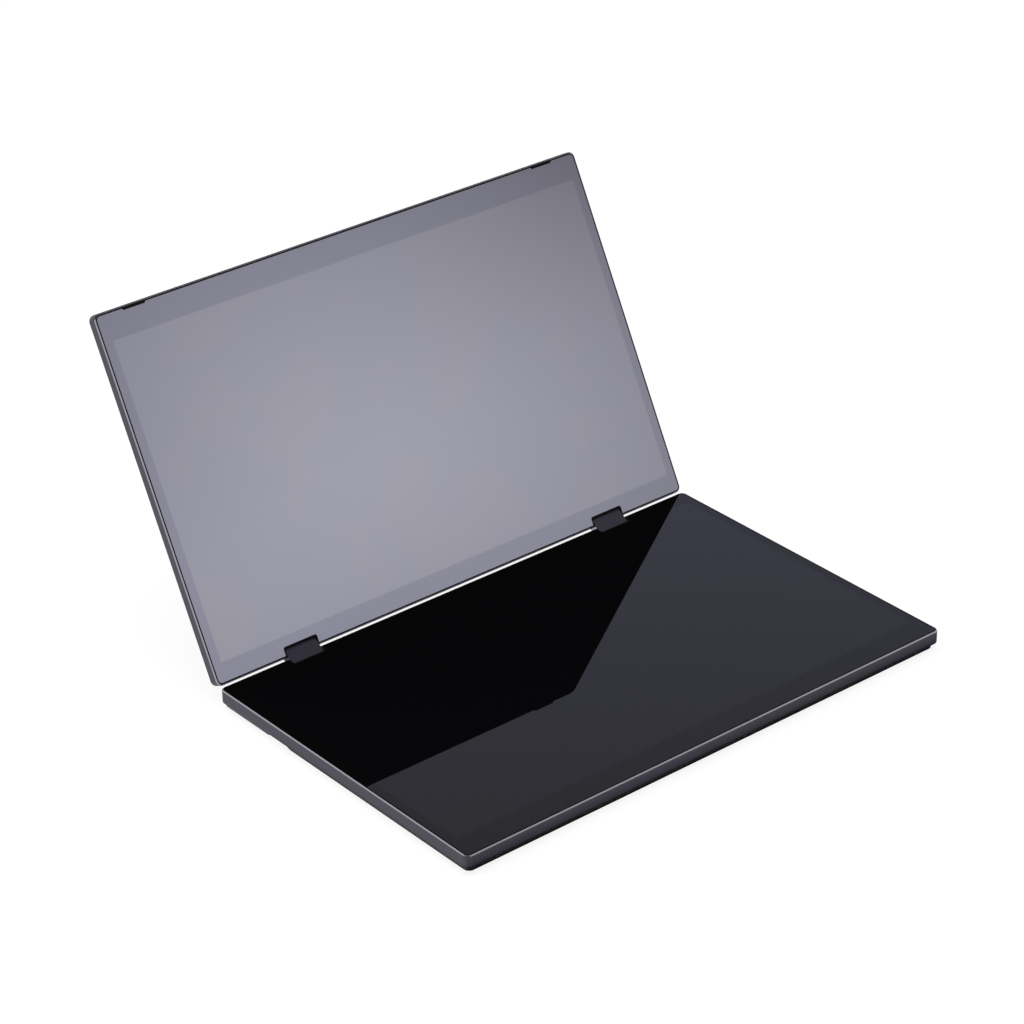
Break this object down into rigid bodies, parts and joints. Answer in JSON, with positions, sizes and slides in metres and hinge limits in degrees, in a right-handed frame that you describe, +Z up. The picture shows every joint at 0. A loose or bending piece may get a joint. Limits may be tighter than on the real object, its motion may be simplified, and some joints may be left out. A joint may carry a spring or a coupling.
{
  "type": "dual-screen portable monitor",
  "caption": "Folding portable monitor: slim lower and upper screens joined by geared twin-axis hinges, with a fold-out stand plate under the lower screen.",
  "frame": {"origin": "on the desk, under the middle of the box of the opened monitor", "axes": "+X along the hinge to the user's right, +Y to the rear, +Z up from the desk"},
  "size_m": [0.3586, 0.3346, 0.2108],
  "materials": {
    "gunmetal": "bead-blasted and anodised dark grey, with a bright cut rim",
    "cover_glass": "glossy black-printed cover glass",
    "display_cell": "dark polariser",
    "backlight": "white reflector back",
    "seal": "matte black",
    "circuit_board": "green solder mask",
    "fastener_steel": "plain steel",
    "socket_steel": "nickel-plated steel",
    "bracket_steel": "stamped steel",
    "hinge_steel": "ground steel, greased",
    "hinge_cover": "dark slate paint, satin",
    "cable": "black sleeve",
    "inner_plastic": "black moulded plastic",
    "key_metal": "anodised dark grey",
    "stand_dark": "black satin paint",
    "rubber": "matte black rubber"
  },
  "bodies": {
    "base": {"base_backlight": "backlight", "base_bracket_rivets": "fastener_steel", "base_bracket_screws": "fastener_steel", "base_cover_glass": "cover_glass", "base_display_ribbon": "cable", "base_friction_washers": "hinge_steel", "base_glass_seal": "seal", "base_hinge_bracket_left": "bracket_steel", "base_hinge_bracket_right": "bracket_steel", "base_hinge_cable": "cable", "base_hinge_nuts": "hinge_steel", "base_hinge_shaft_left": "hinge_steel", "base_hinge_shaft_right": "hinge_steel", "base_housing": "gunmetal", "base_lcd_cell": "display_cell", "board_screws": "fastener_steel", "board_shield": "socket_steel", "main_board": "circuit_board", "menu_switches": "inner_plastic", "mini_hdmi_socket": "socket_steel", "power_switch": "inner_plastic", "rear_feet": "rubber", "rocker_pin": "fastener_steel", "speaker_left": "inner_plastic", "speaker_right": "inner_plastic", "stand_mount": "gunmetal", "stand_mount_screws": "fastener_steel", "stand_pins": "fastener_steel", "usb_c_sockets": "socket_steel"},
    "hinge_link": {"hinge_cover_left": "hinge_cover", "hinge_cover_right": "hinge_cover", "link_plates_left": "bracket_steel", "link_plates_right": "bracket_steel", "idler_pins": "fastener_steel", "link_hinge_cable": "cable"},
    "base_idler": {"base_idler_gears": "hinge_steel"},
    "lid_idler": {"lid_idler_gears": "hinge_steel"},
    "lid": {"driver_board_screws": "fastener_steel", "lid_backlight": "backlight", "lid_bracket_rivets": "fastener_steel", "lid_bracket_screws": "fastener_steel", "lid_bumpers": "rubber", "lid_cover_glass": "cover_glass", "lid_display_ribbon": "cable", "lid_driver_board": "circuit_board", "lid_friction_washers": "hinge_steel", "lid_glass_seal": "seal", "lid_hinge_bracket_left": "bracket_steel", "lid_hinge_bracket_right": "bracket_steel", "lid_hinge_cable": "cable", "lid_hinge_nuts": "hinge_steel", "lid_hinge_shaft_left": "hinge_steel", "lid_hinge_shaft_right": "hinge_steel", "lid_housing": "gunmetal", "lid_lcd_cell": "display_cell"},
    "stand": {"stand_plate": "stand_dark", "stand_grip": "rubber"},
    "power_key": {"power_button": "key_metal"},
    "menu_key": {"menu_rocker": "key_metal"}
  },
  "joints": [
    {"name": "link_turn", "type": "hinge", "parent": "base", "child": "hinge_link", "pos_m": [0, 0.05395, 0.0088], "axis": [-1, 0, 0], "range_deg": [-58.85, 76.15]},
    {"name": "lid_turn", "type": "hinge", "parent": "hinge_link", "child": "lid", "pos_m": [0, 0.06166, 0.01346], "axis": [-1, 0, 0], "range_deg": [-58.85, 76.15]},
    {"name": "base_idler_turn", "type": "hinge", "parent": "hinge_link", "child": "base_idler", "pos_m": [0, 0.05665, 0.01043], "axis": [-1, 0, 0], "range_deg": [-78.5, 101.6]},
    {"name": "lid_idler_turn", "type": "hinge", "parent": "hinge_link", "child": "lid_idler", "pos_m": [0, 0.05896, 0.01183], "axis": [-1, 0, 0], "range_deg": [-101.6, 78.5]},
    {"name": "stand_turn", "type": "hinge", "parent": "base", "child": "stand", "pos_m": [0, 0.0096, 0.0022], "axis": [1, 0, 0], "range_deg": [0, 90]},
    {"name": "power_press", "type": "slide", "parent": "base", "child": "power_key", "axis": [-1, 0, 0], "range_m": [0, 0.0005], "stiffness_N_per_m": 3000},
    {"name": "menu_tilt", "type": "hinge", "parent": "base", "child": "menu_key", "pos_m": [0.1763, 0.0164, 0.0072], "axis": [0, 0, 1], "range_deg": [-2.5, 2.5], "stiffness_Nm_per_rad": 0.22}
  ],
  "couplings": [
    {"joint": "link_turn", "follows": "lid_turn", "ratio": 1},
    {"joint": "base_idler_turn", "follows": "lid_turn", "ratio": 1.3333},
    {"joint": "lid_idler_turn", "follows": "lid_turn", "ratio": -1.3333}
  ]
}
